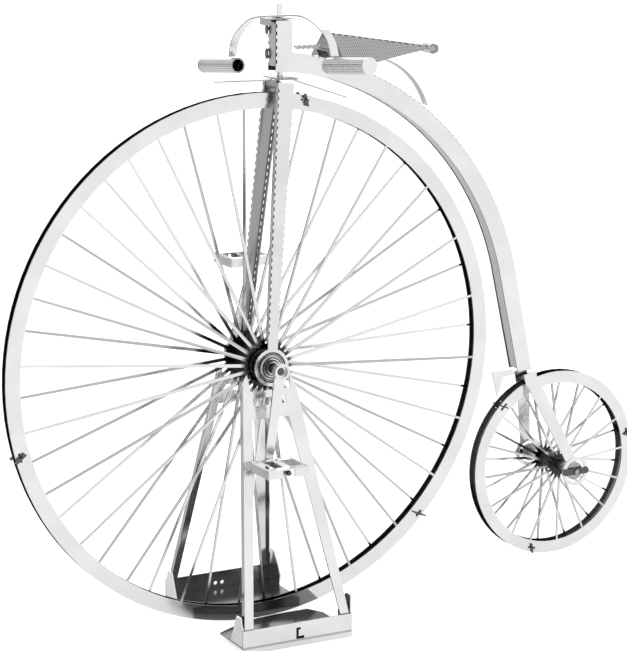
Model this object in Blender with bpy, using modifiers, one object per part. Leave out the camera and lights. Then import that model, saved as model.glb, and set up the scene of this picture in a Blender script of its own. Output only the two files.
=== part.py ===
"""A folded sheet-steel model of a high-wheel bicycle on its display stand.

Every plate is cut from one thin stainless sheet, folded, and held by tabs in slots.
Lengths are in millimetres until MM turns them into metres. +X points to the small
rear wheel, +Y to the rider's right, +Z up. Pieces are placed from the ground under the
big wheel's axle, on the plane between its two plates, and at the end the whole is moved
so that the origin is on the ground at the middle of its box.
"""
import math

import bmesh
import bpy
from mathutils import Matrix, Vector

MM = 0.001

# ---- driving dimensions, mm ------------------------------------------------------
SHEET = 0.25                 # thickness of every folded plate
GAP = 0.06                   # play between two plates that touch on the real model

FRONT_RADIUS = 48.0
FRONT_AXLE = (0.0, 48.5)     # x, z of the big wheel's axle
FRONT_RIM_WIDTH = 2.7
FRONT_RIM_Y = 0.75           # a rim plate's middle, from the centre plane
FRONT_SPOKES = 24            # in each of the two plates
FRONT_FLANGE_Y = 4.2
FRONT_FLANGE_RADIUS = 4.25

REAR_RADIUS = 18.05
REAR_AXLE = (64.2, 21.9)
REAR_RIM_WIDTH = 2.25
REAR_RIM_Y = 0.95
REAR_SPOKES = 16
REAR_FLANGE_Y = 2.6
REAR_FLANGE_RADIUS = 2.2

TAB_ANGLES_FRONT = (-165.0, -44.0, 79.0)
TAB_ANGLES_REAR = (-106.0, 14.0, 134.0)

SLOT_DEPTH = 0.85            # from a rim's edge in to the tabs that tie its two plates
EAR_TWIST = 1.15             # radians that a tab's ends are twisted

CRANK_THROW = 16.4
CRANK_LEANS = (8.0, 14.0)    # degrees: left crank forward of down, right crank back of up
CRANK_Y = 9.4                # far enough out to pass the stand's legs
AXLE_RADIUS = 0.65
PIN_RADIUS = 0.35
PEDAL_Y = (10.1, 17.2)       # inner and outer end of a pedal
PEDAL_HALF_LENGTH = 3.9

FORK_LEAN = 4.9              # degrees that the fork's top leans back
FORK_EYE_Y = 6.0
FORK_TOP_Y = 2.85
CROWN_Z = 98.75
HEAD_X = (2.9, 6.1)          # front and rear of the steering head
HEAD_TOP_Z = 108.9
STEER_X = 4.45               # the steering axis is vertical through here

BACKBONE_RADII = (51.7, 55.1)
BACKBONE_ARC_END = 14.5      # degrees above the axle where the backbone runs straight
BACKBONE_END = ((54.8, 41.2), (58.0, 41.0))
BACKBONE_HALF_WIDTH = 1.5

BAR_Z = 109.6
BAR_TILT = 5.5               # degrees that the bar sits askew, left side up
BAR_BENDS = ((8.5, 0.0), (12.6, -0.9), (18.2, -3.8), (19.3, -7.0))   # y, z from its top
GRIP_Y = (17.2, 30.8)
GRIP_Z = 101.0
GRIP_RADIUS = 1.4
GRIP_BORE = 1.12

SADDLE_X = (13.9, 33.7)
SADDLE_BAND = 1.75           # half the width of the saddle's flat top
SADDLE_TOP = ((13.9, 106.3), (33.7, 103.3))          # x, z of the flat top
SADDLE_HALF = ((13.9, 5.9), (20.8, 6.0), (24.4, 4.1), (29.0, 3.0), (33.7, 2.0))
SADDLE_HEM = ((13.9, 101.9), (20.8, 101.5), (24.4, 101.8), (29.0, 102.4), (33.7, 102.9))

STAND_Y = 16.2               # outer face of a stand half
STAND_X = (-10.6, 11.2)
RAIL_HEIGHT = 4.3
FLOOR_Z = 0.9                # the floor plate's underside; the rail reaches down past it
FLOOR_EDGE = ((11.2, 5.5), (9.5, 2.4), (3.0, 2.4), (-2.0, 3.0), (-7.0, 5.0), (-10.6, 6.9))
GUSSET_LEAF = ((4.2, 1.21), (4.6, 3.3), (3.6, 5.2), (1.7, 7.6), (0.1, 7.7))   # in from the rail, z
STAND_TOP_Y = 5.0            # a stand frame's plane beside the hub, between flange and fork

PARTS = "high_wheel_bicycle"
HELPERS = "helpers"


# ---- scene and materials ---------------------------------------------------------
def clear_scene():
    for obj in list(bpy.data.objects):
        bpy.data.objects.remove(obj, do_unlink=True)


def new_collection(name):
    collection = bpy.data.collections.new(name)
    bpy.context.scene.collection.children.link(collection)
    return collection


def steel(name, colour, roughness):
    material = bpy.data.materials.new(name)
    material.use_nodes = True
    shader = material.node_tree.nodes["Principled BSDF"]
    shader.inputs["Base Color"].default_value = (*colour, 1.0)
    shader.inputs["Metallic"].default_value = 1.0
    shader.inputs["Roughness"].default_value = roughness
    return material


# ---- points ----------------------------------------------------------------------
def polar(radius, degrees, centre=(0.0, 0.0)):
    angle = math.radians(degrees)
    return (centre[0] + radius * math.cos(angle), centre[1] + radius * math.sin(angle))


def arc(radius, start, end, steps, centre=(0.0, 0.0)):
    return [polar(radius, start + (end - start) * i / steps, centre) for i in range(steps + 1)]


def circle(radius, steps=32, centre=(0.0, 0.0)):
    return arc(radius, 0.0, 360.0, steps, centre)[:-1]


def ribbon(path, thickness):
    """The closed outline of a strip of this thickness laid along an open path."""
    left, right = [], []
    for i, (x, z) in enumerate(path):
        x0, z0 = path[max(i - 1, 0)]
        x1, z1 = path[min(i + 1, len(path) - 1)]
        length = math.hypot(x1 - x0, z1 - z0)
        nx, nz = -(z1 - z0) / length, (x1 - x0) / length
        left.append((x + nx * thickness / 2, z + nz * thickness / 2))
        right.append((x - nx * thickness / 2, z - nz * thickness / 2))
    return left + right[::-1]


def bezier(p0, p1, p2, steps):
    points = []
    for i in range(steps + 1):
        t = i / steps
        a, b, c = (1 - t) ** 2, 2 * t * (1 - t), t * t
        points.append((a * p0[0] + b * p1[0] + c * p2[0], a * p0[1] + b * p1[1] + c * p2[1]))
    return points


# ---- solids ----------------------------------------------------------------------
def link_mesh(name, mesh, matrix=None):
    obj = bpy.data.objects.new(name, mesh)
    work.objects.link(obj)
    if matrix is not None:
        obj.matrix_world = matrix
    return obj


def flat(name, loops, thickness):
    """A flat plate in the local XY plane, middle at z = 0, from closed outlines in mm."""
    curve = bpy.data.curves.new(name, "CURVE")
    curve.dimensions = "2D"
    curve.fill_mode = "BOTH"
    curve.extrude = thickness / 2
    for loop in loops:
        spline = curve.splines.new("POLY")
        spline.points.add(len(loop) - 1)
        for point, (x, y) in zip(spline.points, loop):
            point.co = (x, y, 0.0, 1.0)
        spline.use_cyclic_u = True
    holder = bpy.data.objects.new(name, curve)
    work.objects.link(holder)
    bpy.context.view_layer.update()
    graph = bpy.context.evaluated_depsgraph_get()
    mesh = bpy.data.meshes.new_from_object(holder.evaluated_get(graph))
    bpy.data.objects.remove(holder, do_unlink=True)
    bpy.data.curves.remove(curve)
    shape = bmesh.new()
    shape.from_mesh(mesh)
    bmesh.ops.remove_doubles(shape, verts=shape.verts, dist=1e-4)
    bmesh.ops.recalc_face_normals(shape, faces=shape.faces)
    shape.to_mesh(mesh)
    shape.free()
    return link_mesh(name, mesh)


def side_plate(name, loops, thickness, y):
    """A plate whose outlines are given as (x, z), standing in the plane of this y."""
    plate = flat(name, loops, thickness)
    plate.matrix_world = Matrix.Translation((0, y, 0)) @ Matrix.Rotation(math.pi / 2, 4, "X")
    return plate


def end_plate(name, loops, thickness, x):
    """A plate whose outlines are given as (y, z), standing in the plane of this x."""
    plate = flat(name, loops, thickness)
    turn = Matrix.Rotation(math.pi / 2, 4, "Z") @ Matrix.Rotation(math.pi / 2, 4, "X")
    plate.matrix_world = Matrix.Translation((x, 0, 0)) @ turn
    return plate


def tube(name, radius, bore, y_range, centre, steps=32):
    """A round piece along Y, with a bore unless bore is 0."""
    loops = [circle(radius, steps, centre)]
    if bore:
        loops.append(circle(bore, steps, centre))
    low, high = y_range
    return side_plate(name, loops, high - low, (low + high) / 2)


def turned(name, profile, centre, steps=32):
    """A closed outline of (radius, y) points swept once round an axis along Y."""
    shape = bmesh.new()
    ring = [shape.verts.new((centre[0] + radius, y, centre[1])) for radius, y in profile]
    edges = [shape.edges.new(pair) for pair in zip(ring, ring[1:] + ring[:1])]
    bmesh.ops.spin(shape, geom=ring + edges, cent=(centre[0], 0, centre[1]), axis=(0, 1, 0),
                   angle=math.tau, steps=steps, use_merge=True)
    bmesh.ops.remove_doubles(shape, verts=shape.verts, dist=1e-4)
    bmesh.ops.recalc_face_normals(shape, faces=shape.faces)
    mesh = bpy.data.meshes.new(name)
    shape.to_mesh(mesh)
    shape.free()
    return link_mesh(name, mesh)


def box(name, x_range, y_range, z_range):
    mesh = bpy.data.meshes.new(name)
    shape = bmesh.new()
    bmesh.ops.create_cube(shape, size=1.0)
    sizes = [(high - low) for low, high in (x_range, y_range, z_range)]
    middle = [(high + low) / 2 for low, high in (x_range, y_range, z_range)]
    bmesh.ops.scale(shape, vec=sizes, verts=shape.verts)
    bmesh.ops.translate(shape, vec=middle, verts=shape.verts)
    shape.to_mesh(mesh)
    shape.free()
    return link_mesh(name, mesh)


def bake(obj):
    """Moves the object's matrix and modifiers into its mesh."""
    bpy.context.view_layer.update()
    graph = bpy.context.evaluated_depsgraph_get()
    mesh = bpy.data.meshes.new_from_object(obj.evaluated_get(graph))
    mesh.transform(obj.matrix_world)
    obj.modifiers.clear()
    obj.data = mesh
    obj.matrix_world = Matrix.Identity(4)
    return obj


def boolean(base, others, operation):
    for other in others:
        bake(other)
        step = base.modifiers.new(operation.lower(), "BOOLEAN")
        step.operation = operation
        step.solver = "EXACT"
        step.object = other
        bake(base)
        bpy.data.objects.remove(other, do_unlink=True)
    return base


def fuse(base, *others):
    return boolean(bake(base), others, "UNION")


def cut(base, *others):
    return boolean(bake(base), others, "DIFFERENCE")


def merge_loose(name, pieces):
    """One helper mesh that holds several pieces which don't touch one another."""
    shape = bmesh.new()
    for piece in pieces:
        shape.from_mesh(bake(piece).data)
        bpy.data.objects.remove(piece, do_unlink=True)
    mesh = bpy.data.meshes.new(name)
    shape.to_mesh(mesh)
    shape.free()
    return link_mesh(name, mesh)



def finish(obj, name, material, pivot=(0.0, 0.0, 0.0), parent=None):
    """Names a piece, gives it its material, and puts its origin on its pivot, in metres."""
    bake(obj)
    obj.name = name
    obj.data.name = name
    obj.data.materials.clear()
    obj.data.materials.append(material)
    obj.data.transform(Matrix.Scale(MM, 4) @ Matrix.Translation([-value for value in pivot]))
    origin = Matrix.Translation([value * MM for value in pivot])
    obj.data.shade_smooth()
    obj.data.set_sharp_from_angle(angle=math.radians(30))
    work.objects.unlink(obj)
    parts.objects.link(obj)
    obj.matrix_world = origin
    if parent is not None:
        bpy.context.view_layer.update()
        obj.parent = parent
        obj.matrix_parent_inverse = parent.matrix_world.inverted()
    return obj


def finish_pair(obj, name, material, pivot=(0.0, 0.0, 0.0), parent=None):
    """Finishes a left piece, and its mirror image on the right, named NAME_left and _right."""
    other = bake(obj).data.copy()
    other.transform(Matrix.Scale(-1, 4, (0, 1, 0)))
    other.flip_normals()
    finish(obj, f"{name}_left", material, pivot, parent)
    finish(link_mesh(name, other), f"{name}_right", material, pivot, parent)


def joint_empty(name, point):
    empty = bpy.data.objects.new(name, None)
    empty.empty_display_size = 0.004
    parts.objects.link(empty)
    empty.location = [value * MM for value in point]
    bpy.context.view_layer.update()
    return empty


# ---- wheels ----------------------------------------------------------------------
def tab_slot(centre, radius, angle, length, height, y_range):
    """A block across the rims, longest along the rim, at this angle on the wheel."""
    block = box("slot", (-height / 2, height / 2), y_range, (-length / 2, length / 2))
    x, z = polar(radius, angle, centre)
    turn = Matrix.Rotation(-math.radians(angle), 4, "Y")
    block.matrix_world = Matrix.Translation((x, 0, z)) @ turn
    return block


def spoke(radii, y_ends, widths, centre, angle):
    """A tapered flat spoke from the rim plane out to the hub flange."""
    (r0, r1), (y0, y1), (w0, w1) = radii, y_ends, widths
    outline = [(r0, -w0 / 2), (r1, -w1 / 2), (r1, w1 / 2), (r0, w0 / 2)]
    piece = flat("spoke", [outline], SHEET * 0.8)
    for vertex in piece.data.vertices:
        share = (vertex.co.x - r0) / (r1 - r0)
        vertex.co.z += (-(y0 + (y1 - y0) * share))
    place = Matrix.Translation((centre[0], 0, centre[1]))
    turn = Matrix.Rotation(-math.radians(angle), 4, "Y")
    piece.matrix_world = place @ turn @ Matrix.Rotation(math.pi / 2, 4, "X")
    return piece


def wheel_side(centre, radius, width, rim_y, flange_y, flange_radius, bore, count, phase,
               spoke_widths, tab_angles, segments):
    """One rim plate with its spokes and hub flange, cut from a single sheet."""
    rim_loops = [circle(radius, segments, centre), circle(radius - width, segments, centre)]
    rim = side_plate("rim", rim_loops, SHEET, rim_y)
    slots = [tab_slot(centre, radius - SLOT_DEPTH, angle, 1.7, SHEET + 3 * GAP, (-2, 2))
             for angle in tab_angles]
    cut(rim, *slots)
    teeth = []
    for i in range(count):
        start = phase + 360.0 * (i - 0.28) / count
        teeth += arc(flange_radius, start, start + 360.0 * 0.56 / count, 1, centre)
        gap_start = phase + 360.0 * (i + 0.36) / count
        teeth += arc(flange_radius * 0.94, gap_start, gap_start + 360.0 * 0.28 / count, 1, centre)
    flange = side_plate("flange", [teeth, circle(bore, 32, centre)], SHEET, flange_y)
    inner, outer = flange_radius * 0.88, radius - width + 0.6
    slope = (rim_y - flange_y) / (radius - width - flange_radius)
    y_ends = (flange_y - slope * (flange_radius - inner), rim_y + slope * 0.6)
    spokes = [spoke((inner, outer), y_ends, spoke_widths, centre, phase + 360.0 * i / count)
              for i in range(count)]
    return fuse(rim, flange, merge_loose("spokes", spokes))


def rim_tab(centre, radius, angle, ear_y, half_length):
    """The strip that ties both rim plates, its two ears twisted so that they can't pull out."""
    ear_low, ear_high = ear_y
    core = tab_slot(centre, radius - SLOT_DEPTH, angle, 1.4, SHEET, (-ear_low - 0.1, ear_low + 0.1))
    ears = []
    for side in (-1, 1):
        span = sorted((side * ear_low, side * ear_high))
        ear = box("ear", (-SHEET / 2, SHEET / 2), span, (-half_length, half_length))
        x, z = polar(radius - SLOT_DEPTH + 0.1, angle, centre)
        turn = Matrix.Rotation(EAR_TWIST - math.radians(angle), 4, "Y")
        ear.matrix_world = Matrix.Translation((x, 0, z)) @ turn
        ears.append(ear)
    return fuse(core, *ears)


def build_front_wheel(bright, dark):
    hub = joint_empty("front_wheel_axis", (FRONT_AXLE[0], 0, FRONT_AXLE[1]))
    pivot = (FRONT_AXLE[0], 0, FRONT_AXLE[1])
    pitch = 360.0 / FRONT_SPOKES
    for side, name in ((-1, "front_rim_left"), (1, "front_rim_right")):
        phase = 2.7 + (pitch / 2 if side < 0 else 0)
        plate = wheel_side(FRONT_AXLE, FRONT_RADIUS, FRONT_RIM_WIDTH, side * FRONT_RIM_Y,
                           side * FRONT_FLANGE_Y, FRONT_FLANGE_RADIUS, AXLE_RADIUS + 0.08,
                           FRONT_SPOKES, phase, (0.62, 0.4), TAB_ANGLES_FRONT, 108)
        finish(plate, name, bright, pivot, hub)
    for i, angle in enumerate(TAB_ANGLES_FRONT):
        tab = rim_tab(FRONT_AXLE, FRONT_RADIUS, angle, (1.0, 1.8), 1.15)
        finish(tab, f"front_rim_tab_{i + 1}", dark, pivot, hub)
    half = FRONT_FLANGE_Y - SHEET / 2 - GAP
    barrel = tube("barrel", 2.6, AXLE_RADIUS + 0.08, (-half, half), FRONT_AXLE)
    finish(barrel, "front_hub_barrel", dark, pivot, hub)
    axle = tube("axle", AXLE_RADIUS, 0, (-CRANK_Y - 0.3, CRANK_Y + 0.3), FRONT_AXLE, 24)
    finish(axle, "front_axle", bright, pivot, hub)
    start = FRONT_FLANGE_Y + SHEET / 2 + GAP
    profile = [(AXLE_RADIUS + 0.08, start)]
    for radius, low, high in ((2.5, 0, 1.5), (1.95, 1.5, 1.85), (1.4, 1.85, 2.15)):
        profile += [(radius, start + low), (radius, start + high)]
    profile.append((AXLE_RADIUS + 0.08, start + 2.15))
    cap = turned("cap", [(radius, -y) for radius, y in profile], FRONT_AXLE)
    finish_pair(cap, "front_hub_cap", dark, pivot, hub)
    build_cranks(bright, dark, hub, pivot)


def crank_outline(eye, tip):
    """Boss and tapering arm as one outline, between two points in the side view."""
    along = math.degrees(math.atan2(tip[1] - eye[1], tip[0] - eye[0]))
    boss = arc(1.5, along + 46, along + 314, 20, eye)
    end = arc(0.75, along - 80, along + 80, 10, tip)
    return boss + end


def build_cranks(bright, dark, hub, pivot):
    for side, name in ((-1, "left"), (1, "right")):
        angle = -90.0 - CRANK_LEANS[0] if side < 0 else 90.0 - CRANK_LEANS[1]
        tip = polar(CRANK_THROW, angle, FRONT_AXLE)
        bore = circle(AXLE_RADIUS + 0.05, 24, FRONT_AXLE)
        eye = circle(PIN_RADIUS + 0.04, 16, tip)
        arm = side_plate("arm", [crank_outline(FRONT_AXLE, tip), bore, eye], 0.4, side * CRANK_Y)
        ends = sorted((side * (CRANK_Y + 0.1), side * (CRANK_Y + 0.75)))
        collar = tube("collar", 1.45, 1.1, ends, FRONT_AXLE)
        finish(fuse(arm, collar), f"crank_{name}", bright, pivot, hub)
        ends = sorted((side * (CRANK_Y - 0.24), side * (PEDAL_Y[1] + 0.35)))
        pin = tube("pin", PIN_RADIUS, 0, ends, tip, 16)
        finish(pin, f"pedal_pin_{name}", dark, pivot, hub)
        build_pedal(side, name, tip, bright, dark)


def tread(x, y_low, y_high, z):
    """One toothed side of a pedal, standing along Y."""
    teeth = 8
    pitch = (y_high - y_low) / teeth
    top = []
    for i in range(teeth):
        start = y_low + i * pitch
        top += [(start + 0.08, z + 0.6), (start + pitch * 0.4, z + 1.0)]
        top += [(start + pitch - 0.08, z + 0.6)]
    outline = [(y_low, z - 0.85), (y_high, z - 0.85)] + top[::-1]
    return end_plate("tread", [outline], SHEET, x)


def build_pedal(side, name, tip, bright, dark):
    x, z = tip
    pivot = (x, side * sum(PEDAL_Y) / 2, z)
    axis = joint_empty(f"pedal_{name}_axis", pivot)
    low, high = sorted((side * PEDAL_Y[0], side * PEDAL_Y[1]))
    reach = PEDAL_HALF_LENGTH
    pieces = [tread(x - reach + 0.05, low, high, z), tread(x + reach - 0.05, low, high, z)]
    for near in (low + SHEET / 2, high - SHEET / 2):
        for sign in (-1, 1):
            span = sorted((x + sign * reach, x + sign * 1.15))
            pieces.append(box("end", span, (near - SHEET / 2, near + SHEET / 2), (z - 0.8, z + 0.58)))
    for start in (low + 0.05, high - 1.45):
        pieces.append(box("bridge", (x - reach, x + reach), (start, start + 1.4), (z + 0.55, z + 0.78)))
    finish(fuse(*pieces), f"pedal_{name}_cage", bright, pivot, axis)
    barrel = tube("barrel", 0.5, PIN_RADIUS + 0.05, (low + 0.1, high - 0.1), tip, 20)
    finish(barrel, f"pedal_{name}_barrel", dark, pivot, axis)


def build_rear_wheel(bright, dark, steering):
    axis = joint_empty("rear_wheel_axis", (REAR_AXLE[0], 0, REAR_AXLE[1]))
    axis.parent = steering
    axis.matrix_parent_inverse = steering.matrix_world.inverted()
    bpy.context.view_layer.update()
    pivot = (REAR_AXLE[0], 0, REAR_AXLE[1])
    pitch = 360.0 / REAR_SPOKES
    bore = 1.0
    for side, name in ((-1, "rear_rim_left"), (1, "rear_rim_right")):
        phase = 4.0 + (pitch / 2 if side > 0 else 0)
        plate = wheel_side(REAR_AXLE, REAR_RADIUS, REAR_RIM_WIDTH, side * REAR_RIM_Y,
                           side * REAR_FLANGE_Y, REAR_FLANGE_RADIUS, bore, REAR_SPOKES, phase,
                           (0.5, 0.36), TAB_ANGLES_REAR, 64)
        finish(plate, name, bright, pivot, axis)
    for i, angle in enumerate(TAB_ANGLES_REAR):
        tab = rim_tab(REAR_AXLE, REAR_RADIUS, angle, (1.15, 1.46), 0.95)
        finish(tab, f"rear_rim_tab_{i + 1}", dark, pivot, axis)
    half = REAR_FLANGE_Y - SHEET / 2 - GAP
    barrel = tube("barrel", 1.6, bore, (-half, half), REAR_AXLE)
    finish(barrel, "rear_hub_barrel", dark, pivot, axis)


# ---- fork, crown, head, handlebar ------------------------------------------------
def fork_leg():
    """The left leg: a tapered folded blade that ends in a ring round the hub."""
    length = (CROWN_Z - FRONT_AXLE[1]) / math.cos(math.radians(FORK_LEAN)) - 0.4
    foot, top = 1.95 / 2, 3.2 / 2
    eye_radius, eye_bore = 3.35, 2.75
    side = math.degrees(math.asin(foot / eye_radius))
    outline = arc(eye_radius, 90 + side, 450 - side, 36) + [(top, length), (-top, length)]
    leg = side_plate("blade", [outline, circle(eye_bore, 36)], SHEET, 0)
    flanges = []
    for sign in (-1, 1):
        start, end = (sign * (foot - 0.1), 4.6), (sign * (top - 0.1), length - 0.15)
        flanges.append(side_plate("flange", [ribbon([start, end], SHEET)], 0.9, 0.39))
    fuse(leg, *flanges)
    splay = math.asin((FORK_EYE_Y - FORK_TOP_Y) / length)
    place = Matrix.Translation((FRONT_AXLE[0], -FORK_EYE_Y, FRONT_AXLE[1]))
    lean = Matrix.Rotation(math.radians(FORK_LEAN), 4, "Y")
    leg.matrix_world = place @ lean @ Matrix.Rotation(-splay, 4, "X")
    return bake(leg)


def guard(path, root_width, tip_width, name):
    """A thin strip over the tyre that starts at the crown and narrows to its free end."""
    strip = bake(side_plate(name, [ribbon(path, 0.2)], root_width, 0))
    start, end = path[1][0], path[-1][0]
    for vertex in strip.data.vertices:
        share = min(max((vertex.co.x - start) / (end - start), 0.0), 1.0)
        vertex.co.y *= 1 + (tip_width / root_width - 1) * share
    return strip


def softened(path):
    """The path with each inner corner cut off twice, so that its bends are round."""
    for _ in range(2):
        cut_path = [path[0]]
        for (x0, z0), (x1, z1) in zip(path, path[1:]):
            for t in (0.25, 0.75):
                cut_path.append((x0 + (x1 - x0) * t, z0 + (z1 - z0) * t))
        path = cut_path + [path[-1]]
    return path


def build_fork(bright, dark, brushed):
    finish_pair(fork_leg(), "fork_leg", brushed)
    hole = circle(0.5 + GAP, 20, (STEER_X, 0))
    half = FORK_TOP_Y + 0.3
    front, rear = HEAD_X[0] - 0.1, HEAD_X[1] + 0.4
    outline = [(front, -half), (rear, -half), (rear, half), (front, half)]
    crown = flat("crown", [outline, hole], SHEET)
    crown.location.z = (CROWN_Z + SHEET / 2)
    finish(crown, "fork_crown", dark)
    path = [(2.6, 98.8), (1.8, 98.55), (-8.3, 98.65)]
    finish(guard(path, 1.3, 0.3, "guard"), "tyre_guard_front", bright)
    path = [(6.7, 98.6), (7.5, 98.2), (18.0, 94.7)]
    finish(guard(path, 2.0, 0.3, "guard"), "tyre_guard_rear", bright)
    post = flat("post", [circle(0.5, 20, (STEER_X, 0))], BAR_Z - CROWN_Z - 0.2)
    post.location.z = (BAR_Z + CROWN_Z - 0.2) / 2
    finish(post, "steering_post", dark)


def tilted(piece):
    """The piece turned with the handlebar, which sits a little askew on the head."""
    bake(piece)
    centre = Matrix.Translation((0, 0, HEAD_TOP_Z))
    turn = Matrix.Rotation(-math.radians(BAR_TILT), 4, "X")
    piece.matrix_world = centre @ turn @ centre.inverted()
    return piece


def build_handlebar(bright, dark):
    half = softened([(0.0, BAR_Z)] + [(y, BAR_Z + z) for y, z in BAR_BENDS])
    path = [(-y, z) for y, z in half[:0:-1]] + half
    bar = end_plate("bar", [ribbon(path, SHEET)], 1.5, STEER_X)
    finish(tilted(bar), "handlebar", bright)
    top = HEAD_TOP_Z + 0.2
    plate = box("plate", (1.2, 6.2), (-1.4, 1.4), (top, top + 0.22))
    skirt = box("skirt", (1.2, 1.4), (-1.4, 1.4), (top - 0.95, top + 0.1))
    cheeks = [box("cheek", (1.2, 1.95), (s * 1.3 - 0.1, s * 1.3 + 0.1), (top - 0.95, top + 0.1))
              for s in (-1, 1)]
    clamp = fuse(plate, skirt, *cheeks)
    bore = flat("bore", [circle(0.5 + GAP, 20, (STEER_X, 0))], 2.0)
    bore.location.z = top
    cut(clamp, bore)
    finish(clamp, "handlebar_clamp", dark)
    key = box("key", (STEER_X - 0.5, STEER_X + 0.5), (-0.12, 0.12), (BAR_Z + 0.2, BAR_Z + 2.1))
    finish(tilted(key), "bar_key", bright)
    for side, name in ((-1, "left"), (1, "right")):
        ends = sorted((side * GRIP_Y[0], side * GRIP_Y[1]))
        grip = tube("grip", GRIP_RADIUS, GRIP_BORE, ends, (STEER_X, GRIP_Z))
        finish(tilted(grip), f"grip_{name}", bright)
        ends = sorted((side * (GRIP_Y[1] + GAP), side * (GRIP_Y[1] + GAP + SHEET)))
        cap = tube("cap", GRIP_RADIUS + 0.03, 0, ends, (STEER_X, GRIP_Z))
        finish(tilted(cap), f"grip_cap_{name}", bright)


# ---- backbone, saddle, rear fork -------------------------------------------------
def backbone_outline(inner, outer, front, rear, top, bottom_end):
    """Head and backbone seen from the side, between two radii about the big axle."""
    def on_arc(radius, x):
        return math.degrees(math.acos((x - FRONT_AXLE[0]) / radius))
    (x_in, z_in), (x_out, z_out) = bottom_end
    points = [(front, top), (rear, top)]
    points += arc(outer, on_arc(outer, rear), BACKBONE_ARC_END, 30, FRONT_AXLE)
    points += [(x_out, z_out), (x_in, z_in)]
    points += arc(inner, BACKBONE_ARC_END, on_arc(inner, front + 0.3), 30, FRONT_AXLE)
    return points + [(front, points[-1][1])]


def build_backbone(bright, dark, brushed, steering):
    inner, outer = BACKBONE_RADII
    outline = backbone_outline(inner, outer, *HEAD_X, HEAD_TOP_Z, BACKBONE_END)
    channel = side_plate("channel", [outline], 2 * BACKBONE_HALF_WIDTH, 0)
    (x_in, z_in), (x_out, z_out) = BACKBONE_END
    past = ((x_in, z_in - 3.0), (x_out - SHEET + 0.6, z_out - 3.0))
    hollow = backbone_outline(inner - 0.7, outer - SHEET, HEAD_X[0] - 1, HEAD_X[1] - SHEET,
                              HEAD_TOP_Z + 1, past)
    cutter = side_plate("hollow", [hollow], 2 * (BACKBONE_HALF_WIDTH - SHEET), 0)
    pivot = (STEER_X, 0, FRONT_AXLE[1] + outer)
    finish(cut(channel, cutter), "backbone_channel", brushed, pivot, steering)

    slim = 2 * (BACKBONE_HALF_WIDTH - SHEET - GAP)
    path = arc(inner + 0.2, 82.0, BACKBONE_ARC_END, 26, FRONT_AXLE) + [(x_in + 0.2, z_in + 0.3)]
    strip = side_plate("underside", [ribbon(path, SHEET)], slim, 0)
    finish(strip, "backbone_underside", dark, pivot, steering)

    front = box("front", (HEAD_X[0], HEAD_X[0] + SHEET), (-slim / 2, slim / 2),
                (101.0, HEAD_TOP_Z - 0.3))
    finish(front, "head_front", dark, pivot, steering)
    step = [(49.1, 41.5), (53.9, 41.3), (54.2, 40.5), (51.7, 40.2), (50.6, 36.3)]
    plate = side_plate("step", [step], SHEET, -1.2)
    finish(plate, "mounting_step", bright, pivot, steering)
    build_rear_fork(bright, dark, pivot, steering)
    build_saddle(bright, dark, brushed, pivot, steering)


def build_rear_fork(bright, dark, pivot, steering):
    eye_y, eye_radius = 7.9, 2.85
    near = BACKBONE_HALF_WIDTH + GAP
    # The strap lies on the backbone, the blade leans out from it, and the eye stands upright.
    strap = box("strap", (-1.35, 1.35), (0, SHEET), (-0.3, 2.4))
    strap.matrix_world = (Matrix.Translation((58.0, -(near + SHEET), 38.2))
                          @ Matrix.Rotation(math.radians(-13), 4, "Y"))
    top, foot = (58.2, 38.6), (REAR_AXLE[0] - 0.9, REAR_AXLE[1] + 2.0)
    length = math.hypot(math.dist(top, foot), eye_y - near)
    blade = flat("blade", [[(-1.4, 0), (1.4, 0), (1.1, length), (-1.1, length)]], SHEET)
    lean = math.atan2(foot[0] - top[0], top[1] - foot[1])
    splay = math.asin((eye_y - near) / length)
    blade.matrix_world = (Matrix.Translation((top[0], -(near + SHEET / 2), top[1]))
                          @ Matrix.Rotation(-lean, 4, "Y")
                          @ Matrix.Rotation(-splay, 4, "X")
                          @ Matrix.Rotation(-math.pi / 2, 4, "X"))
    loops = [circle(eye_radius, 40, REAR_AXLE), circle(2.1, 40, REAR_AXLE)]
    eye = side_plate("eye", loops, SHEET, -(eye_y + SHEET / 2))
    finish_pair(fuse(blade, strap, eye), "rear_fork", bright, pivot, steering)
    body = tube("body", 0.9, 0, (-7.3, 7.3), REAR_AXLE, 24)
    ends = tube("ends", 0.45, 0, (-8.75, 8.75), REAR_AXLE, 16)
    washers = [tube("washer", 1.75, 0, sorted((s * 7.3, s * 7.9)), REAR_AXLE) for s in (-1, 1)]
    finish(fuse(body, ends, *washers), "rear_axle", dark, pivot, steering)
    start = eye_y + SHEET + GAP
    for side, name in ((-1, "left"), (1, "right")):
        ends = sorted((side * start, side * (start + SHEET)))
        key = side_plate("key", [key_outline(), circle(0.45 + 0.05, 16, REAR_AXLE)],
                         ends[1] - ends[0], sum(ends) / 2)
        finish(key, f"rear_axle_key_{name}", dark, pivot, steering)


def key_outline():
    """A flat bar with round ends that locks the rear axle in its eyes."""
    x, z = REAR_AXLE
    back = arc(0.7, 120, 240, 8, (x - 2.2, z))
    front = arc(0.7, -60, 60, 8, (x + 2.2, z))
    return back + front


def between(knots, x):
    """The value at x along a chain of (x, value) points."""
    for (x0, v0), (x1, v1) in zip(knots, knots[1:]):
        if x <= x1:
            return v0 + (v1 - v0) * (x - x0) / (x1 - x0)
    return knots[-1][1]


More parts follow.
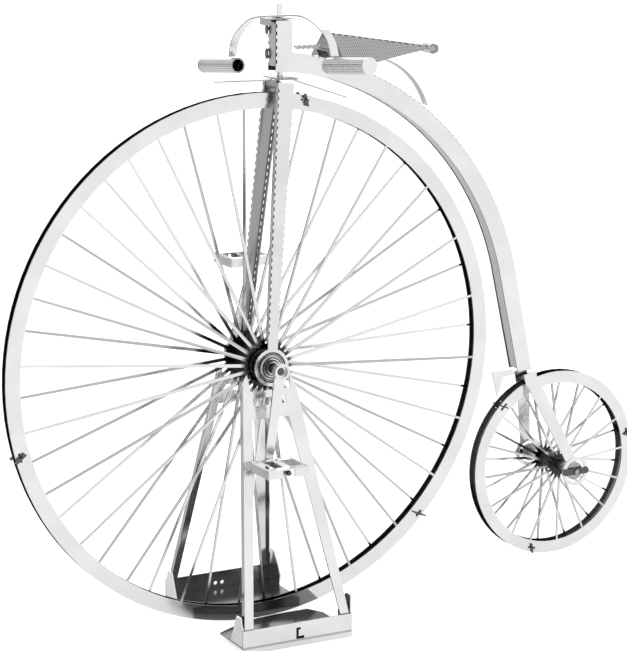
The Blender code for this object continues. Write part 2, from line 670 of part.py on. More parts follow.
def saddle_shell():
    """A flat band with two flaps folded down along it, thickened by Solidify."""
    along = 20
    shape = bmesh.new()
    grid = []
    for i in range(along + 1):
        x = SADDLE_X[0] + (SADDLE_X[1] - SADDLE_X[0]) * i / along
        top, edge_y, edge_z = between(SADDLE_TOP, x), between(SADDLE_HALF, x), between(SADDLE_HEM, x)
        half = min(SADDLE_BAND, edge_y - 0.15)
        side = [(half + (edge_y - half) * t, top + (edge_z - top) * t) for t in (1.0, 0.5, 0.0)]
        row = [(-y, z) for y, z in side] + side[::-1]
        grid.append([shape.verts.new((x, y, z)) for y, z in row])
    for i in range(along):
        for j in range(len(grid[0]) - 1):
            shape.faces.new((grid[i][j], grid[i + 1][j], grid[i + 1][j + 1], grid[i][j + 1]))
    bmesh.ops.recalc_face_normals(shape, faces=shape.faces)
    mesh = bpy.data.meshes.new("saddle")
    shape.to_mesh(mesh)
    shape.free()
    shell = link_mesh("saddle", mesh)
    skin = shell.modifiers.new("skin", "SOLIDIFY")
    skin.thickness = SHEET
    skin.offset = 0
    return shell


def build_saddle(bright, dark, brushed, pivot, steering):
    finish(saddle_shell(), "saddle_top", brushed, pivot, steering)
    cheek = [(12.6, 103.6), (13.6, 101.4), (21.6, 100.6), (22.6, 102.3)]
    sides = [side_plate("cheek", [cheek], SHEET, s * 2.15) for s in (-1, 1)]
    deck = side_plate("deck", [ribbon([(12.8, 103.4), (22.4, 102.15)], SHEET)], 4.34, 0)
    finish(fuse(deck, *sides), "saddle_mount", dark, pivot, steering)
    path = bezier((23.1, 101.9), (31.4, 100.0), (34.2, 92.6), 14)
    leaf = side_plate("leaf", [ribbon(path, 0.2)], 1.5, 0)
    finish(leaf, "saddle_spring", dark, pivot, steering)
    path = [(7.4 + i * 0.5, 104.0 + 0.25 * (-1) ** i) for i in range(11)]
    link = side_plate("link", [ribbon(path, 0.25)], 1.1, 0)
    finish(link, "saddle_front_spring", dark, pivot, steering)
    roll = tube("roll", 0.95, 0.7, (-1.5, 1.5), (34.95, 102.8), 24)
    finish(roll, "saddle_tail_roll", brushed, pivot, steering)


# ---- stand -----------------------------------------------------------------------
def stand_frame():
    """The left frame: two legs, a crossbar and the cradle under the hub, leaning inwards."""
    foot_z, top_z = RAIL_HEIGHT + GAP, 47.0
    top_y, foot_y = STAND_TOP_Y, STAND_Y - 0.5
    height = math.hypot(top_z - foot_z, foot_y - top_y)
    scale = height / (top_z - foot_z)

    def level(z):
        return (z - foot_z) * scale
    outer = [(-10.1, 0), (-8.4, 0), (-4.2, level(39.6)), (3.0, level(39.6)), (9.0, 0),
             (10.7, 0), (5.3, level(43.5)), (4.6, level(46.0)), (3.95, level(46.8)),
             (3.9, level(44.4)), (-4.0, level(44.4)), (-4.4, level(47.4)), (-5.3, level(46.2))]
    window = [(-3.75, level(41.9)), (2.85, level(41.9)), (2.6, level(43.2)), (-3.6, level(43.2))]
    frame = side_plate("frame", [outer, window], SHEET, 0)
    flange = side_plate("flange", [ribbon([(-9.98, 0.3), (-5.35, level(45.6))], SHEET)], 0.9,
                        0.9 / 2)
    other = side_plate("flange", [ribbon([(10.58, 0.3), (5.4, level(42.4))], SHEET)], 0.9,
                       0.9 / 2)
    fuse(frame, flange, other)
    lean = math.atan2(foot_y - top_y, top_z - foot_z)
    frame.matrix_world = (Matrix.Translation((0, -foot_y, foot_z))
                          @ Matrix.Rotation(-lean, 4, "X"))
    return bake(frame)


def build_stand(bright, dark, brushed):
    front, rear = STAND_X
    rail = box("rail", STAND_X, (-STAND_Y, -STAND_Y + SHEET), (0, RAIL_HEIGHT))
    floor = flat("floor", [[(front, -STAND_Y), (rear, -STAND_Y)] + [(x, -y) for x, y in FLOOR_EDGE]],
                 SHEET)
    floor.location.z = FLOOR_Z + SHEET / 2
    finish_pair(fuse(rail, floor), "stand_tray", bright)
    finish_pair(stand_frame(), "stand_frame", bright)
    back = -(STAND_Y - SHEET - GAP)
    low = FLOOR_Z + SHEET + GAP
    short = [(back, low), (back + 4.6, low), (back + 2.4, 6.4), (back + 0.9, 6.4), (back, 4.0)]
    tall = [(back, low)] + [(back + y, z) for y, z in GUSSET_LEAF] + [(back, 4.0)]
    for x, where, outline in ((front + SHEET / 2, "front", short), (rear - SHEET / 2, "rear", tall)):
        finish_pair(end_plate("gusset", [outline], SHEET, x), f"stand_gusset_{where}", brushed)


def centre_on_ground():
    """Moves everything so that the origin is under the middle of the whole, on the ground."""
    bpy.context.view_layer.update()
    corners = [obj.matrix_world @ Vector(corner) for obj in parts.objects
               if obj.type == "MESH" for corner in obj.bound_box]
    low = [min(corner[i] for corner in corners) for i in range(3)]
    high = [max(corner[i] for corner in corners) for i in range(3)]
    shift = Vector(((low[0] + high[0]) / 2, (low[1] + high[1]) / 2, low[2]))
    for obj in parts.objects:
        if obj.parent is None:
            obj.location -= shift
    bpy.context.view_layer.update()


# ---- build -----------------------------------------------------------------------
clear_scene()
parts = new_collection(PARTS)
work = new_collection(HELPERS)
BRIGHT = steel("polished_steel", (0.86, 0.86, 0.87), 0.12)
DARK = steel("shaded_steel", (0.42, 0.42, 0.43), 0.22)
BRUSHED = steel("brushed_steel", (0.72, 0.72, 0.73), 0.3)

build_stand(BRIGHT, DARK, BRUSHED)
build_fork(BRIGHT, DARK, BRUSHED)
build_handlebar(BRIGHT, DARK)
build_front_wheel(BRIGHT, DARK)
steering_axis = joint_empty("steering_axis", (STEER_X, 0, CROWN_Z))
build_backbone(BRIGHT, DARK, BRUSHED, steering_axis)
build_rear_wheel(BRIGHT, DARK, steering_axis)
centre_on_ground()
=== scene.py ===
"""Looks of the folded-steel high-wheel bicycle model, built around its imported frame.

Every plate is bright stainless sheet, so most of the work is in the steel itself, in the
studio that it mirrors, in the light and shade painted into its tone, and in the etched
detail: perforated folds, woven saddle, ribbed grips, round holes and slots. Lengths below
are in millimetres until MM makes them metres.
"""
import math

import bmesh
import bpy
from mathutils import Matrix, Vector


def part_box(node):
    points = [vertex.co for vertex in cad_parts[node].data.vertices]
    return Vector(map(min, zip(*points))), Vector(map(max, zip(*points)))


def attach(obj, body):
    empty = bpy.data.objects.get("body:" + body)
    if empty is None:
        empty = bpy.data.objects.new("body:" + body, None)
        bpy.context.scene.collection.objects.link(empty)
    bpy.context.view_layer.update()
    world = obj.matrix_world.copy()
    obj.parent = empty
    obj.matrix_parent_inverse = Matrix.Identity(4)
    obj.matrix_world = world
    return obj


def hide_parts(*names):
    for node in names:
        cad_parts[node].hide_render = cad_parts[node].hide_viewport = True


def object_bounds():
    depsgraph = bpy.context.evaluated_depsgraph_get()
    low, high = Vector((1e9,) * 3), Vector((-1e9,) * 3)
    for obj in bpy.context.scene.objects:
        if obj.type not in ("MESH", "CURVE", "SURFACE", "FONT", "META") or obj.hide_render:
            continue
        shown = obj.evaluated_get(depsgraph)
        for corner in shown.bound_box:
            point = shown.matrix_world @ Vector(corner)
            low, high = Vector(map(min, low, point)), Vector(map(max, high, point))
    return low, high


MM = 0.001

# The frame's own dimensions that the patterns, the painted shade and the etched openings follow, in
# mm.
RAIL_FOLD_Z = 1.05      # middle of the fold between a rail and its floor plate
BAR_TILT = 5.5          # degrees that the handlebar is askew
RING_INNER, FLANGE = 45.3, 4.3              # the big wheel's inner rim and hub flange radii
SMALL_RING_INNER, SMALL_FLANGE = 15.8, 2.3  # the same of the small wheel
FORK_EYE_Y = 6.0        # how far out a fork leg stands at the axle
FORK_TOP_Y = 2.85       # and at its top
FORK_LENGTH = 50.03
FORK_LEAN = 4.9         # degrees
FORK_HALF_WIDTHS = (0.975, 1.6)     # at the axle and at the top
PLATE_HALF_WIDTH = 1.5  # the backbone and the head, across
BACKBONE_FOLD = 55.0    # radius of the backbone's outer fold
HEAD_FOLD_X = 2.95
HEAD_SPAN = (101.2, 108.6)
SADDLE_BAND = 1.75      # half the width of the saddle's flat top
SADDLE_FRONT = (13.9, 106.3)        # x, z of the flat top's front end
SADDLE_FALL = 3.0 / 19.8            # how fast the flat top goes down towards the tail
RAIL_Y = 16.1

# Etched slits: half sides in mm, and the distance from one slit to the next.
FORK_SLIT, FORK_PITCH = (0.2, 0.26, 0.3), 1.25
BACKBONE_SLIT, BACKBONE_PITCH = (0.12, 0.2, 0.22), 1.25     # this pitch is in degrees
HEAD_SLIT, HEAD_PITCH = (0.2, 0.3, 0.33), 1.15
SADDLE_SLIT, SADDLE_PITCH = (0.36, 0.2, 0.4), 1.3
CUT_DEPTH = 0.6         # half the depth of a cutter through a rail

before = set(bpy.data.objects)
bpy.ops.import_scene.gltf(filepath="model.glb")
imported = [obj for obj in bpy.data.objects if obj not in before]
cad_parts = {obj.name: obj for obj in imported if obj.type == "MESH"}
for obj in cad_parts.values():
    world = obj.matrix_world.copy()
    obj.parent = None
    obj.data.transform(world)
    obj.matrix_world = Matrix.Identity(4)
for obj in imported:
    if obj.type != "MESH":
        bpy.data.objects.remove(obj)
CAD_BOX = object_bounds()


def centre_of(node):
    low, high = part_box(node)
    return (low + high) / 2


# Patterns and cutters are placed from the ground under the big wheel's axle, in mm.
AXLE = centre_of("front_axle")
BASE = Vector((AXLE.x, AXLE.y, CAD_BOX[0].z))
AXLE_Z = (AXLE.z - BASE.z) / MM
REAR_AXLE = (centre_of("rear_hub_barrel") - BASE) / MM


# ---- node helpers ------------------------------------------------------------------
class Graph:
    """A short way to write a material's or world's node tree."""

    def __init__(self, tree):
        self.tree = tree
        tree.nodes.clear()

    def add(self, kind, settings=None, **inputs):
        node = self.tree.nodes.new("ShaderNode" + kind)
        for key, value in (settings or {}).items():
            setattr(node, key, value)
        for key, value in inputs.items():
            self.feed(node, key.replace("_", " "), value)
        return node

    def feed(self, node, key, value):
        socket = node.inputs[int(key[1:])] if key[0] == "i" and key[1:].isdigit() else node.inputs[key]
        if isinstance(value, bpy.types.NodeSocket):
            self.tree.links.new(value, socket)
        else:
            socket.default_value = value

    def math(self, operation, a, b=0.0, c=0.0, clamp=False):
        node = self.add("Math", {"operation": operation, "use_clamp": clamp}, i0=a, i1=b, i2=c)
        return node.outputs[0]

    def vector(self, operation, a, b=(0.0, 0.0, 0.0)):
        node = self.add("VectorMath", {"operation": operation}, i0=a, i1=b)
        return node.outputs["Value" if operation in ("DOT_PRODUCT", "LENGTH") else "Vector"]

    def ramp(self, value, low, high, start=0.0, end=1.0):
        node = self.add("MapRange", {"interpolation_type": "SMOOTHSTEP"}, Value=value)
        for key, number in zip(("From Min", "From Max", "To Min", "To Max"), (low, high, start, end)):
            node.inputs[key].default_value = number
        return node.outputs[0]

    def mix(self, factor, a, b):
        node = self.add("Mix", {"data_type": "RGBA"})
        self.feed(node, "i0", factor)
        for index, value in ((6, a), (7, b)):
            if isinstance(value, bpy.types.NodeSocket):
                self.tree.links.new(value, node.inputs[index])
            else:
                node.inputs[index].default_value = value
        return node.outputs[2]


def grey(value):
    return (value, value, value * 1.004, 1.0)


def in_mm(graph, place):
    """A place in metres as a point in mm from the ground under the big axle."""
    return graph.vector("MULTIPLY", graph.vector("SUBTRACT", place, tuple(BASE)), (1 / MM,) * 3)


def polar(graph, point, centre):
    """The distance and the angle of a point from an axle at (x, z)."""
    parts = graph.add("SeparateXYZ", Vector=point)
    x = graph.math("SUBTRACT", parts.outputs[0], centre[0])
    z = graph.math("SUBTRACT", parts.outputs[2], centre[1])
    square = graph.math("ADD", graph.math("MULTIPLY", x, x), graph.math("MULTIPLY", z, z))
    return graph.math("SQRT", square), graph.math("ARCTAN2", z, x)


# ---- steel -------------------------------------------------------------------------
ROLLING = (9.0, 9.0, 0.5)       # the rolling lines are stretched along z
PATTERN_SHARE = 0.16            # the tone left where a pattern is darkest: etched marks, and the saddle's painted fold shade


def steel(name, tone, roughness, pattern=None, painted_shade=None):
    """Stainless sheet: faint rolling lines and smudges, with an optional etched pattern.

    pattern(graph, point) gives (darkening, height), both 0 to 1, from the point in mm.
    A shade function gives from (graph, point) a 0 to 1 factor of painted shade, multiplying the tone.
    """
    material = bpy.data.materials.new(name)
    material.use_nodes = True
    graph = Graph(material.node_tree)
    point = in_mm(graph, graph.add("TexCoord").outputs["Object"])
    lines = graph.add("TexNoise", {"noise_dimensions": "3D"}, Scale=1.0, Detail=2.0,
                      Vector=graph.vector("MULTIPLY", point, ROLLING)).outputs["Fac"]
    smudge = graph.add("TexNoise", {"noise_dimensions": "3D"}, Scale=0.16, Detail=3.0,
                       Vector=point).outputs["Fac"]
    colour = graph.mix(graph.ramp(smudge, 0.35, 0.7), grey(tone * 0.93), grey(tone))
    rough = graph.math("MULTIPLY_ADD", smudge, 0.10, roughness - 0.05)
    rough = graph.math("MULTIPLY_ADD", lines, 0.05, rough)
    height = graph.math("MULTIPLY", lines, 0.15)
    # painted shade: the tone is darkened by a factor that stands in for light and shade
    if painted_shade:
        colour = graph.mix(painted_shade(graph, point), grey(0.0), colour)
    if pattern:
        dark, relief = pattern(graph, point)
        colour = graph.mix(dark, colour, grey(tone * PATTERN_SHARE))
        height = graph.math("ADD", height, graph.math("MULTIPLY", relief, -1.0))
    bump = graph.add("Bump", Strength=0.16, Distance=0.00004, Height=height)
    shader = graph.add("BsdfPrincipled", Metallic=1.0, Roughness=rough, Normal=bump.outputs[0])
    graph.feed(shader, "Base Color", colour)
    graph.tree.links.new(shader.outputs[0], graph.add("OutputMaterial").inputs[0])
    return material


WEAVE_RATE = 7.2        # radians per mm along the two sets of lines that make the diamonds
WEAVE_SLANT = 0.9       # mm along the flap for 1 mm down it
DASH_RATE = 4.6


def weave(graph, point):
    """Small raised diamonds on the saddle's flaps, and dashes of painted shade along both folds of its
    top.
    """
    parts = graph.add("SeparateXYZ", Vector=point)
    along = parts.outputs[0]
    across = graph.math("ABSOLUTE", parts.outputs[1])
    down = graph.math("SUBTRACT", across, graph.math("MULTIPLY", parts.outputs[2], WEAVE_SLANT))
    a = graph.math("SINE", graph.math("MULTIPLY", graph.math("ADD", along, down), WEAVE_RATE))
    b = graph.math("SINE", graph.math("MULTIPLY", graph.math("SUBTRACT", along, down), WEAVE_RATE))
    both = graph.math("MULTIPLY", a, b)
    on_flap = graph.ramp(across, SADDLE_BAND - 0.1, SADDLE_BAND + 0.1, 0.35, 1.0)
    dark = graph.math("MULTIPLY", graph.ramp(both, -0.25, 0.35, 0.75, 0.12), on_flap)
    # painted shade: dark dashes along the folds stand for the shade in the slits
    dash = graph.ramp(graph.math("SINE", graph.math("MULTIPLY", along, DASH_RATE)), -0.15, 0.15)
    from_fold = graph.math("ABSOLUTE", graph.math("SUBTRACT", across, SADDLE_BAND))
    off_fold = graph.ramp(from_fold, 0.22, 0.30)
    fold = graph.math("SUBTRACT", 1.0, off_fold)
    dark = graph.math("ADD", graph.math("MULTIPLY", dark, off_fold),
                      graph.math("MULTIPLY", dash, fold))
    return dark, graph.ramp(both, -0.2, 0.4, 1.0, 0.0)


RIB_COUNT = 22.0


def grip_ribs(node):
    """Fine lines that run along a grip, evenly spaced round its sloping middle line."""
    middle = (centre_of(node) - BASE) / MM

    def pattern(graph, point):
        parts = graph.add("SeparateXYZ", Vector=point)
        slope = graph.math("MULTIPLY", graph.math("SUBTRACT", parts.outputs[1], middle.y),
                           -math.tan(math.radians(BAR_TILT)))
        rise = graph.math("SUBTRACT", graph.math("SUBTRACT", parts.outputs[2], middle.z), slope)
        angle = graph.math("ARCTAN2", rise, graph.math("SUBTRACT", parts.outputs[0], middle.x))
        wave = graph.math("SINE", graph.math("MULTIPLY", angle, RIB_COUNT))
        uneven = graph.add("TexNoise", Scale=1.3, Detail=1.0, Vector=point).outputs["Fac"]
        strength = graph.ramp(uneven, 0.3, 0.65, 0.35, 0.9)
        dark = graph.math("MULTIPLY", graph.ramp(wave, 0.2, 0.95), strength)
        return dark, graph.ramp(wave, 0.2, 0.9)
    return pattern


def signed_side(graph, point):
    """How far a face looks away from the centre plane: 1 outwards, -1 inwards."""
    normal = graph.add("NewGeometry").outputs["True Normal"]
    across = graph.vector("DOT_PRODUCT", normal, (0.0, 1.0, 0.0))
    side = graph.math("SIGN", graph.add("SeparateXYZ", Vector=point).outputs[1])
    return graph.math("MULTIPLY", across, side)


def facing(outer=1.0, inner=1.0, front=1.0, rear=1.0, top=1.0, under=1.0):
    """Painted shade that gives each direction of a folded plate its own share of the tone."""
    def painted_shade(graph, point):
        normal = graph.add("NewGeometry").outputs["True Normal"]
        out = signed_side(graph, point)
        along = graph.vector("DOT_PRODUCT", normal, (1.0, 0.0, 0.0))
        upward = graph.vector("DOT_PRODUCT", normal, (0.0, 0.0, 1.0))
        share = graph.ramp(out, 0.3, 0.7, 1.0, outer)
        for value, sign, depth in ((out, -1.0, inner), (along, -1.0, front), (along, 1.0, rear),
                                   (upward, 1.0, top), (upward, -1.0, under)):
            if depth != 1.0:
                turned = graph.math("MULTIPLY", value, sign)
                share = graph.math("MULTIPLY", share, graph.ramp(turned, 0.35, 0.75, 1.0, depth))
        return share
    return painted_shade


def tray_painted_shade(graph, point):
    """Painted shade: dark inside and on the floor, bright outside but for a dark fold at the floor's
    level.
    """
    share = facing(inner=0.3, front=0.6, rear=0.4, top=0.18)(graph, point)
    rise = graph.add("SeparateXYZ", Vector=point).outputs[2]
    from_fold = graph.math("ABSOLUTE", graph.math("SUBTRACT", rise, RAIL_FOLD_Z))
    return graph.math("MULTIPLY", share, graph.ramp(from_fold, 0.1, 0.28, 0.55, 1.0))


def wheel_painted_shade(centre, ring, flange, low_stretch):
    """Painted shade on a wheel plate: bright outside, dark between the two plates, dark toothed
    flange.

    Each spoke mirrors the room at its own slant, so a painted reflection varies its tone from spoke to
    spoke.
    """
    def painted_shade(graph, point):
        radius, angle = polar(graph, point, centre)
        out = signed_side(graph, point)
        # painted shade on the sheet's edges and on the rim's inner faces
        edge = graph.ramp(graph.math("ABSOLUTE", out), 0.2, 0.6, 0.12, 1.0)
        inside = graph.ramp(out, -0.6, -0.2, 0.22, 1.0)
        in_ring = graph.ramp(radius, ring - 0.15, ring - 0.05)
        ring_share = graph.math("MULTIPLY_ADD", graph.math("SUBTRACT", inside, 1.0), in_ring, 1.0)
        # painted reflection: the spokes' tone changes with their angle
        swing = graph.add("TexNoise", {"noise_dimensions": "1D"}, Scale=1.0, Detail=1.0,
                          W=graph.math("MULTIPLY", angle, 9.0)).outputs["Fac"]
        spoke = graph.math("MAXIMUM", graph.ramp(swing, 0.38, 0.58, 0.6, 1.0), in_ring)
        # painted shade on the toothed flange round the hub
        hub = graph.ramp(radius, flange, flange + 1.2, 0.07, 1.0)
        share = graph.math("MULTIPLY", graph.math("MULTIPLY", edge, ring_share),
                           graph.math("MULTIPLY", spoke, hub))
        if low_stretch:
            share = graph.math("MULTIPLY", share, painted_stand_reflection(graph))
        return share
    return painted_shade


MIRROR_TOP = (4.2, 4.5)             # mm above the ground where the painted reflection fades out
MIRROR_FRONT = (-13.5, -12.5)       # x at its soft front end
MIRROR_REAR = (14.6, 15.0)          # x + z at its slanting rear end
MIRROR_SHARE = 0.28


def painted_stand_reflection(graph):
    """Painted reflection of the dark stand on the big ring, in a short stretch above it, however it's
    turned.
    """
    point = in_mm(graph, graph.add("NewGeometry").outputs["Position"])
    parts = graph.add("SeparateXYZ", Vector=point)
    low = graph.ramp(parts.outputs[2], *MIRROR_TOP)
    front = graph.ramp(parts.outputs[0], *MIRROR_FRONT, 1.0, 0.0)
    rear = graph.ramp(graph.math("ADD", parts.outputs[2], parts.outputs[0]), *MIRROR_REAR)
    clear = graph.math("MAXIMUM", low, graph.math("MAXIMUM", front, rear), clamp=True)
    return graph.math("MULTIPLY_ADD", clear, 1.0 - MIRROR_SHARE, MIRROR_SHARE)


RING_RATE = 13.0        # radians per mm outwards on a hub cap


def painted_cap_rings(centre):
    """Painted highlight and shade: concentric bright and dark rings on the stepped hub caps."""
    def painted_shade(graph, point):
        radius, _ = polar(graph, point, centre)
        wave = graph.math("SINE", graph.math("MULTIPLY", radius, RING_RATE))
        return graph.ramp(wave, -0.5, 0.4, 0.08, 1.0)
    return painted_shade


# ---- geometry helpers ---------------------------------------------------------------
PLACE = Matrix.Translation(BASE) @ Matrix.Scale(MM, 4)


def link_mesh(name, mesh):
    obj = bpy.data.objects.new(name, mesh)
    bpy.context.scene.collection.objects.link(obj)
    return obj


def mesh_object(name, shape):
    mesh = bpy.data.meshes.new(name)
    shape.to_mesh(mesh)
    shape.free()
    return link_mesh(name, mesh)


def prism(shape, matrix, half_x, half_y, half_z):
    """A box cutter, sides given as halves in mm, placed by a matrix in mm."""
    scale = Matrix.Diagonal((2 * half_x, 2 * half_y, 2 * half_z, 1.0))
    bmesh.ops.create_cube(shape, size=1.0, matrix=PLACE @ matrix @ scale)


def rod(shape, matrix, radius, half_length, sides=14):
    """A round bar along the matrix's z, in mm."""
    bmesh.ops.create_cone(shape, cap_ends=True, segments=sides, radius1=radius, radius2=radius,
                          depth=2 * half_length, matrix=PLACE @ matrix)


def carve(piece, cutters):
    """Takes the cutters out of a piece with one exact Boolean, and deletes them."""
    step = piece.modifiers.new("etched", "BOOLEAN")
    step.operation = "DIFFERENCE"
    step.solver = "EXACT"
    step.use_self = True
    step.object = cutters
    bpy.context.view_layer.update()
    graph = bpy.context.evaluated_depsgraph_get()
    mesh = bpy.data.meshes.new_from_object(piece.evaluated_get(graph))
    piece.modifiers.clear()
    piece.data = mesh
    bpy.data.objects.remove(cutters, do_unlink=True)
    piece.data.shade_flat()
    return piece


def finish_piece(piece, body, material):
    piece.data.materials.clear()
    piece.data.materials.append(material)
    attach(piece, body)


def etch(node, cutters, body, material):
    """Replaces a CAD node by a copy of the same plate with its etched openings."""
    copy = link_mesh(node + "_etched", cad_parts[node].data.copy())
    finish_piece(carve(copy, cutters), body, material)
    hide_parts(node)


# ---- materials ----------------------------------------------------------------------
# Painted shade: the functions given below darken each sheet's tone by face direction, inside the
# trays, between the wheel plates and on the hub caps.
BRIGHT = steel("bright_sheet", 0.84, 0.12, painted_shade=facing(front=0.45, rear=0.30))
TRAY = steel("tray_sheet", 0.82, 0.12, painted_shade=tray_painted_shade)
FORK = steel("fork_sheet", 0.80, 0.16, painted_shade=facing(inner=0.42, front=0.42, rear=0.16))
SPINE = steel("backbone_sheet", 0.84, 0.14, painted_shade=facing(inner=0.10, front=0.18, under=0.14))
RING = steel("ring_sheet", 0.83, 0.12, painted_shade=wheel_painted_shade((0.0, AXLE_Z), RING_INNER, FLANGE, True))
SMALL_RING = steel("small_ring_sheet", 0.83, 0.12,
                   painted_shade=wheel_painted_shade((REAR_AXLE.x, REAR_AXLE.z), SMALL_RING_INNER, SMALL_FLANGE, False))
SOFT = steel("satin_painted_shade_sheet", 0.80, 0.22, painted_shade=facing(front=0.85, rear=0.35))
# Darker copies of the same steel, as painted shade for parts that sit in shade.
MID = steel("shaded_sheet", 0.42, 0.24)
DARK_SHADE = steel("dark_shade_sheet", 0.12, 0.28)
DEEP_SHADE = steel("deep_shade_sheet", 0.035, 0.34)
CAPS = steel("cap_sheet", 0.70, 0.16, painted_shade=painted_cap_rings((0.0, AXLE_Z)))
SADDLE = steel("woven_sheet", 0.62, 0.30, pattern=weave)


def paint(names, material):
    for name in names:
        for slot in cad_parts[name].material_slots:
            slot.material = material


ALL_NODES = sorted(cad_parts)
paint(ALL_NODES, BRIGHT)
paint(["front_rim_left", "front_rim_right"], RING)
paint(["rear_rim_left", "rear_rim_right"], SMALL_RING)
# Painted shade: the parts below get darker copies of the steel.
paint([name for name in ALL_NODES if "rim_tab" in name], DARK_SHADE)
paint(["front_hub_barrel", "rear_hub_barrel"], DEEP_SHADE)
paint(["front_hub_cap_left", "front_hub_cap_right"], CAPS)
paint(["rear_axle", "head_front", "fork_crown", "backbone_underside",
       "tyre_guard_front", "tyre_guard_rear"], MID)
paint(["front_axle", "rear_axle_key_left", "rear_axle_key_right", "pedal_pin_left",
       "pedal_pin_right", "pedal_left_barrel", "pedal_right_barrel"], DARK_SHADE)
paint(["saddle_mount", "saddle_front_spring", "saddle_spring", "handlebar_clamp"], MID)
paint(["saddle_tail_roll"], SADDLE)
paint([name for name in ALL_NODES if "gusset" in name], SOFT)
for grip in ("grip_left", "grip_right"):
    paint([grip], steel(grip + "_sheet", 0.56, 0.2, pattern=grip_ribs(grip)))


# ---- etched detail --------------------------------------------------------------------
def move(x, y, z):
    return Matrix.Translation((x, y, z))


def turn(degrees, axis):
    return Matrix.Rotation(math.radians(degrees), 4, axis)


def steps(start, end, pitch):
    """The middles of equal steps from start to end, each about one pitch long."""
    count = max(int(abs(end - start) / pitch), 1)
    return [start + (end - start) * (i + 0.5) / count for i in range(count)]


def fork_folds(side):
    """Slits along both folds of a fork leg."""
    splay = math.degrees(math.asin((FORK_EYE_Y - FORK_TOP_Y) / FORK_LENGTH))
    leg = move(0, side * FORK_EYE_Y, AXLE_Z) @ turn(FORK_LEAN, "Y") @ turn(side * splay, "X")
    low_half, top_half = FORK_HALF_WIDTHS
    shape = bmesh.new()
    for z in steps(5.5, FORK_LENGTH - 0.8, FORK_PITCH):
        half = low_half + (top_half - low_half) * z / FORK_LENGTH
        for sign in (-1, 1):
            prism(shape, leg @ move(sign * (half - 0.08), 0, z), *FORK_SLIT)
    return mesh_object("slits", shape)


def backbone_folds():
    """Slits along both outer folds of the backbone, and both front folds of the head."""
    shape = bmesh.new()
    for angle in steps(80.0, 15.0, BACKBONE_PITCH):
        spoke = move(0, 0, AXLE_Z) @ turn(-angle, "Y")
        for side in (-1, 1):
            prism(shape, spoke @ move(BACKBONE_FOLD, side * PLATE_HALF_WIDTH, 0), *BACKBONE_SLIT)
    for z in steps(*HEAD_SPAN, HEAD_PITCH):
        for side in (-1, 1):
            prism(shape, move(HEAD_FOLD_X, side * PLATE_HALF_WIDTH, z), *HEAD_SLIT)
    return mesh_object("slits", shape)


def saddle_folds():
    """Slits along the two folds between the saddle's flat band and its flaps."""
    shape = bmesh.new()
    front_x, front_z = SADDLE_FRONT
    for x in steps(14.3, 33.0, SADDLE_PITCH):
        z = front_z - SADDLE_FALL * (x - front_x)
        for side in (-1, 1):
            prism(shape, move(x, side * SADDLE_BAND, z), *SADDLE_SLIT)
    return mesh_object("slits", shape)


def tray_slots(side):
    """The near rail has one hooked slot in its middle, and the far rail two round holes."""
    shape = bmesh.new()
    y = side * RAIL_Y
    if side < 0:
        hook = ((0.15, 2.3, 0.24, 1.05), (0.95, 1.5, 0.56, 0.25), (0.5, 3.15, 0.3, 0.2))
        for x, z, half_x, half_z in hook:
            prism(shape, move(x, y, z), half_x, CUT_DEPTH, half_z)
        return mesh_object("slots", shape)
    for x in (-0.3, 1.1):
        rod(shape, move(x, y, 2.1) @ turn(90, "X"), 0.36, CUT_DEPTH)
    return mesh_object("holes", shape)


for side, name in ((-1, "left"), (1, "right")):
    etch("fork_leg_" + name, fork_folds(side), "fork_and_stand", FORK)
    etch("stand_tray_" + name, tray_slots(side), "fork_and_stand", TRAY)
etch("backbone_channel", backbone_folds(), "backbone", SPINE)
etch("saddle_top", saddle_folds(), "backbone", SADDLE)


# ---- small folded tabs ----------------------------------------------------------------
def tray_tongue():
    """The bent tongue that stands behind the near rail's hooked slot; painted shade makes the slot
    read black.
    """
    back, front, end_y = -15.84, -15.6, -14.6
    bottom, fold_top, top = 1.2, 1.42, 3.45
    start_x, width = -0.5, 2.2
    outline = ((back, top), (back, bottom), (end_y, bottom), (end_y, fold_top),
               (front, fold_top), (front, top))
    shape = bmesh.new()
    corners = [shape.verts.new(PLACE @ Vector((start_x, y, z))) for y, z in outline]
    shape.faces.new(corners)
    grown = bmesh.ops.extrude_face_region(shape, geom=shape.faces[:])
    moved = [item for item in grown["geom"] if isinstance(item, bmesh.types.BMVert)]
    bmesh.ops.translate(shape, verts=moved, vec=(width * MM, 0.0, 0.0))
    bmesh.ops.recalc_face_normals(shape, faces=shape.faces)
    return shape


def head_ears():
    """Two flattened ears at the head's front, where the far plate is hooked in."""
    shape = bmesh.new()
    for z in (107.3, 103.0):
        ear = move(2.6, 1.45, z) @ turn(90, "Y") @ Matrix.Diagonal((2.2, 1.0, 1.0, 1.0))
        rod(shape, ear, 0.42, 0.12, 20)
    return shape


# Painted shade: the tongue in deep shade, the head's ears in dark shade.
finish_piece(mesh_object("tray_tongue_left", tray_tongue()), "fork_and_stand", DEEP_SHADE)
finish_piece(mesh_object("head_front_ears", head_ears()), "backbone", DARK_SHADE)


# ---- studio -------------------------------------------------------------------------
ROOM_TONE = 1.02
# Each darker panel: its direction, the cosines where it starts and is full, and its share.
PANELS = (((-0.46, 0.86, -0.22), 0.90, 0.99, 0.50), ((0.10, 0.60, 0.79), 0.86, 0.98, 0.75))
FLOOR_GLOW, CAMERA_GLOW = 0.22, 0.38
CAMERA_ANGLES = (-28.21, 12.64, 0.45)       # degrees round, up and rolled
CAMERA_DISTANCE = 0.42935
CAMERA_AIM = (0.00976, 0.0, 0.05181)        # metres from the ground under the big axle
CAMERA_LENS, CAMERA_SHIFT = 131.74, (0.0139, 0.0180)
CENTRE = (CAD_BOX[0] + CAD_BOX[1]) / 2


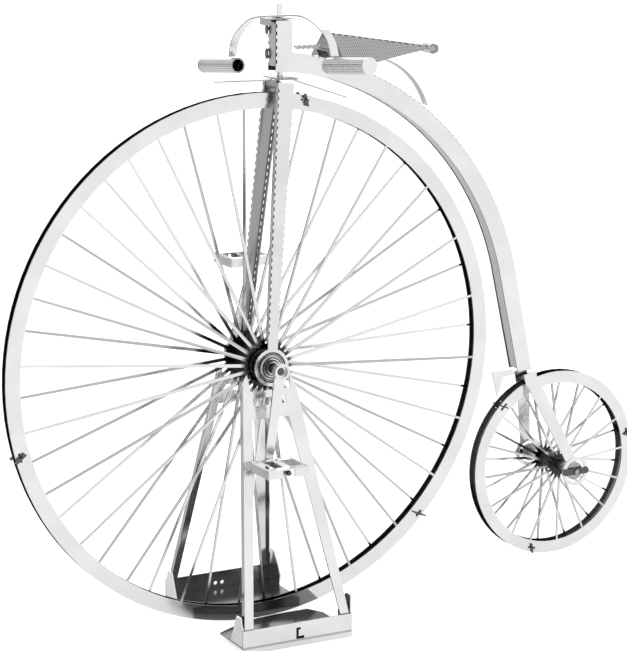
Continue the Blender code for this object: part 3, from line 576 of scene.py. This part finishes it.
def studio_world():
    """White to the camera; the metal sees a bright room with soft darker panels in it."""
    world = bpy.data.worlds.new("studio")
    world.use_nodes = True
    bpy.context.scene.world = world
    graph = Graph(world.node_tree)
    way = graph.add("TexCoord").outputs["Generated"]
    light = ROOM_TONE
    for direction, start, full, depth in PANELS:
        aim = Vector(direction).normalized()
        near = graph.vector("DOT_PRODUCT", way, tuple(aim))
        light = graph.math("MULTIPLY", light, graph.ramp(near, start, full, 1.0, depth))
    seen = graph.add("LightPath").outputs["Is Camera Ray"]
    room = graph.add("CombineXYZ", X=light, Y=light, Z=light).outputs[0]
    background = graph.add("Background", Strength=1.0)
    graph.feed(background, "Color", graph.mix(seen, room, grey(1.0)))
    graph.tree.links.new(background.outputs[0], graph.add("OutputWorld").inputs[0])


def studio_floor():
    shape = bmesh.new()
    bmesh.ops.create_grid(shape, x_segments=1, y_segments=1, size=3.0)
    floor = mesh_object("floor", shape)
    floor.location.z = CAD_BOX[0].z - 0.2 * MM
    material = bpy.data.materials.new("floor")
    material.use_nodes = True
    graph = Graph(material.node_tree)
    grain = graph.add("TexNoise", Scale=40.0, Detail=2.0).outputs["Fac"]
    paper = graph.mix(grain, grey(0.72), grey(0.76))
    shader = graph.add("BsdfDiffuse", Color=paper)
    seen = graph.add("LightPath").outputs["Is Camera Ray"]
    glow = graph.add("Emission", Strength=graph.math("MULTIPLY_ADD", seen, CAMERA_GLOW, FLOOR_GLOW))
    both = graph.add("AddShader", i0=shader.outputs[0], i1=glow.outputs[0])
    graph.tree.links.new(both.outputs[0], graph.add("OutputMaterial").inputs[0])
    floor.data.materials.append(material)


def soft_lamp(name, place, size, power):
    data = bpy.data.lights.new(name, "AREA")
    data.size = size
    data.energy = power
    lamp = bpy.data.objects.new(name, data)
    lamp.location = place
    lamp.rotation_euler = (CENTRE - Vector(place)).to_track_quat("-Z", "Y").to_euler()
    bpy.context.scene.collection.objects.link(lamp)


def studio_camera():
    """The camera, aimed and rolled by angles, with the object a little off the lens's middle."""
    azimuth, elevation, roll = (math.radians(value) for value in CAMERA_ANGLES)
    forward = Vector((-math.sin(azimuth) * math.cos(elevation),
                      math.cos(azimuth) * math.cos(elevation), -math.sin(elevation)))
    right = Vector((math.cos(azimuth), math.sin(azimuth), 0.0))
    up = right.cross(forward)
    side = right * math.cos(roll) + up * math.sin(roll)
    top = up * math.cos(roll) - right * math.sin(roll)
    spot = BASE + Vector(CAMERA_AIM) - forward * CAMERA_DISTANCE
    data = bpy.data.cameras.new("camera")
    camera = bpy.data.objects.new("camera", data)
    bpy.context.scene.collection.objects.link(camera)
    camera.matrix_world = Matrix(((side.x, top.x, -forward.x, spot.x),
                                  (side.y, top.y, -forward.y, spot.y),
                                  (side.z, top.z, -forward.z, spot.z), (0, 0, 0, 1)))
    data.sensor_width, data.lens = 36.0, CAMERA_LENS
    data.shift_x, data.shift_y = CAMERA_SHIFT
    data.clip_start, data.clip_end = 0.01, 20.0
    bpy.context.scene.camera = camera


studio_world()
studio_floor()
soft_lamp("key_lamp", (-0.5, -0.5, 0.7), 0.6, 1.2)
soft_lamp("back_lamp", (0.3, 0.7, 0.5), 0.6, 1.0)
studio_camera()
bpy.context.scene.view_settings.view_transform = "Standard"

bpy.context.view_layer.update()
